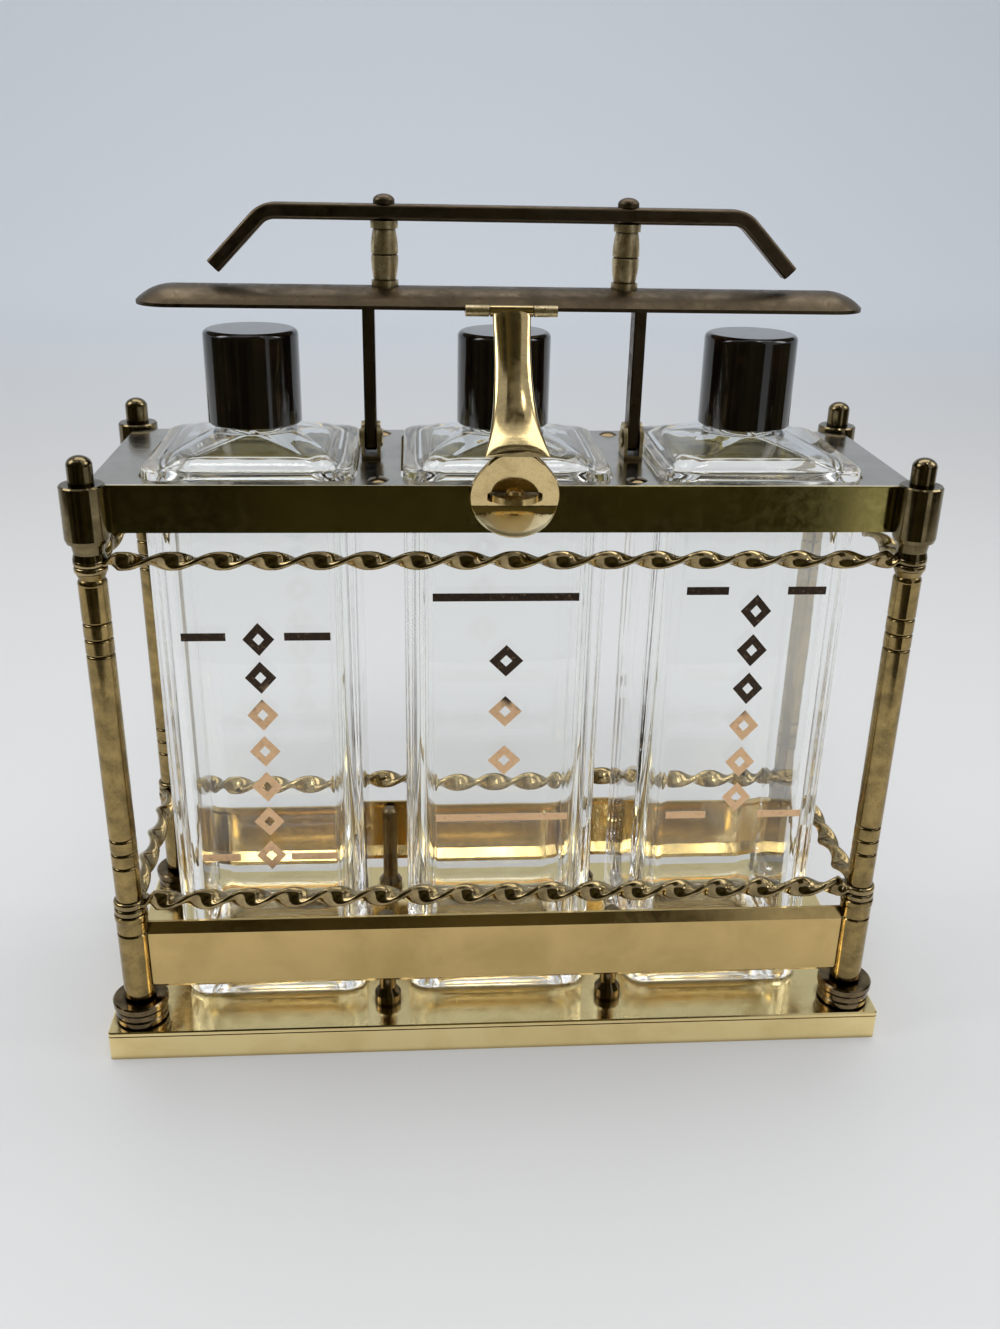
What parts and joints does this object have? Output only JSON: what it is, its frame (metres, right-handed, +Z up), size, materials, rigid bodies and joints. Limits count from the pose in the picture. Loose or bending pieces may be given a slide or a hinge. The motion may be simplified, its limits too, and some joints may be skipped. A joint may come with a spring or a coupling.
{
  "type": "tantalus",
  "caption": "Open brass frame with twisted rails holding square glass bottles under a hinged carrying bar, closed by a hasp over a lock eye.",
  "frame": {"origin": "centre of the base's footprint, on the surface it stands on", "axes": "+X along the length to the right, +Y to the back, away from the hasp, +Z up"},
  "size_m": [0.303, 0.114, 0.3137],
  "materials": {
    "bottle_glass": "clear, faint green tint",
    "cap_gloss": "glossy near-black brown",
    "pale_brass": "bright pale gold, softly mottled",
    "dark_patina": "dark patina, satin",
    "olive_brass": "olive-brown tarnish, satin",
    "polished_brass": "polished with fine pits",
    "brown_bronze": "brown antique patina, fine speckle",
    "aged_brass": "aged brass, dark in the grooves",
    "plain_steel": "plain turned steel"
  },
  "bodies": {
    "frame": {"band_back": "pale_brass", "band_front": "pale_brass", "base_nuts": "plain_steel", "base_pan": "pale_brass", "clevis_left": "brown_bronze", "clevis_right": "brown_bronze", "corner_sleeve_back_left": "aged_brass", "corner_sleeve_back_right": "aged_brass", "corner_sleeve_front_left": "aged_brass", "corner_sleeve_front_right": "aged_brass", "divider_post_back_left": "dark_patina", "divider_post_back_right": "dark_patina", "divider_post_front_left": "dark_patina", "divider_post_front_right": "dark_patina", "finial_back_left": "aged_brass", "finial_back_right": "aged_brass", "finial_front_left": "aged_brass", "finial_front_right": "aged_brass", "foot_collar_back_left": "dark_patina", "foot_collar_back_right": "dark_patina", "foot_collar_front_left": "dark_patina", "foot_collar_front_right": "dark_patina", "lock_eye": "polished_brass", "lower_bar_back": "aged_brass", "lower_bar_front": "aged_brass", "lower_bar_left": "aged_brass", "lower_bar_right": "aged_brass", "lower_tube_back_left": "aged_brass", "lower_tube_back_right": "aged_brass", "lower_tube_front_left": "aged_brass", "lower_tube_front_right": "aged_brass", "pivot_pin_left": "brown_bronze", "pivot_pin_right": "brown_bronze", "plate_rivets": "dark_patina", "post_rod_back_left": "aged_brass", "post_rod_back_right": "aged_brass", "post_rod_front_left": "aged_brass", "post_rod_front_right": "aged_brass", "top_pan": "olive_brass", "upper_bar_back": "aged_brass", "upper_bar_front": "aged_brass", "upper_bar_left": "aged_brass", "upper_bar_right": "aged_brass"},
    "lid": {"handle_bar": "brown_bronze", "handle_nut_left": "brown_bronze", "handle_nut_right": "brown_bronze", "handle_pillar_left": "aged_brass", "handle_pillar_right": "aged_brass", "hinge_leaf": "brown_bronze", "hinge_pin": "plain_steel", "lid_arm_left": "brown_bronze", "lid_arm_right": "brown_bronze", "lid_bar": "brown_bronze"},
    "hasp": {"hasp": "polished_brass"},
    "bottle_left": {"bottle_left": "bottle_glass"},
    "cap_left": {"cap_left": "cap_gloss"},
    "bottle_middle": {"bottle_middle": "bottle_glass"},
    "cap_middle": {"cap_middle": "cap_gloss"},
    "bottle_right": {"bottle_right": "bottle_glass"},
    "cap_right": {"cap_right": "cap_gloss"}
  },
  "joints": [
    {"name": "lid_swing", "type": "hinge", "parent": "frame", "child": "lid", "pos_m": [0, 0, 0.231], "axis": [1, 0, 0], "range_deg": [0, 72]},
    {"name": "hasp_swing", "type": "hinge", "parent": "lid", "child": "hasp", "pos_m": [0.0012, -0.0154, 0.27791], "axis": [-1, 0, 0], "range_deg": [0, 110]},
    {"name": "bottle_left_lift", "type": "slide", "parent": "frame", "child": "bottle_left", "axis": [0, 0, 1], "range_m": [0, 0.007]},
    {"name": "cap_left_twist", "type": "hinge", "parent": "bottle_left", "child": "cap_left", "pos_m": [-0.0885, 0, 0.25], "axis": [0, 0, 1], "continuous": true},
    {"name": "bottle_middle_lift", "type": "slide", "parent": "frame", "child": "bottle_middle", "axis": [0, 0, 1], "range_m": [0, 0.002]},
    {"name": "cap_middle_twist", "type": "hinge", "parent": "bottle_middle", "child": "cap_middle", "pos_m": [0, 0, 0.25], "axis": [0, 0, 1], "continuous": true},
    {"name": "bottle_right_lift", "type": "slide", "parent": "frame", "child": "bottle_right", "axis": [0, 0, 1], "range_m": [0, 0.007]},
    {"name": "cap_right_twist", "type": "hinge", "parent": "bottle_right", "child": "cap_right", "pos_m": [0.0885, 0, 0.25], "axis": [0, 0, 1], "continuous": true}
  ],
  "couplings": [
    {"joint": "hasp_swing", "follows": "lid_swing", "ratio": 1.5}
  ]
}
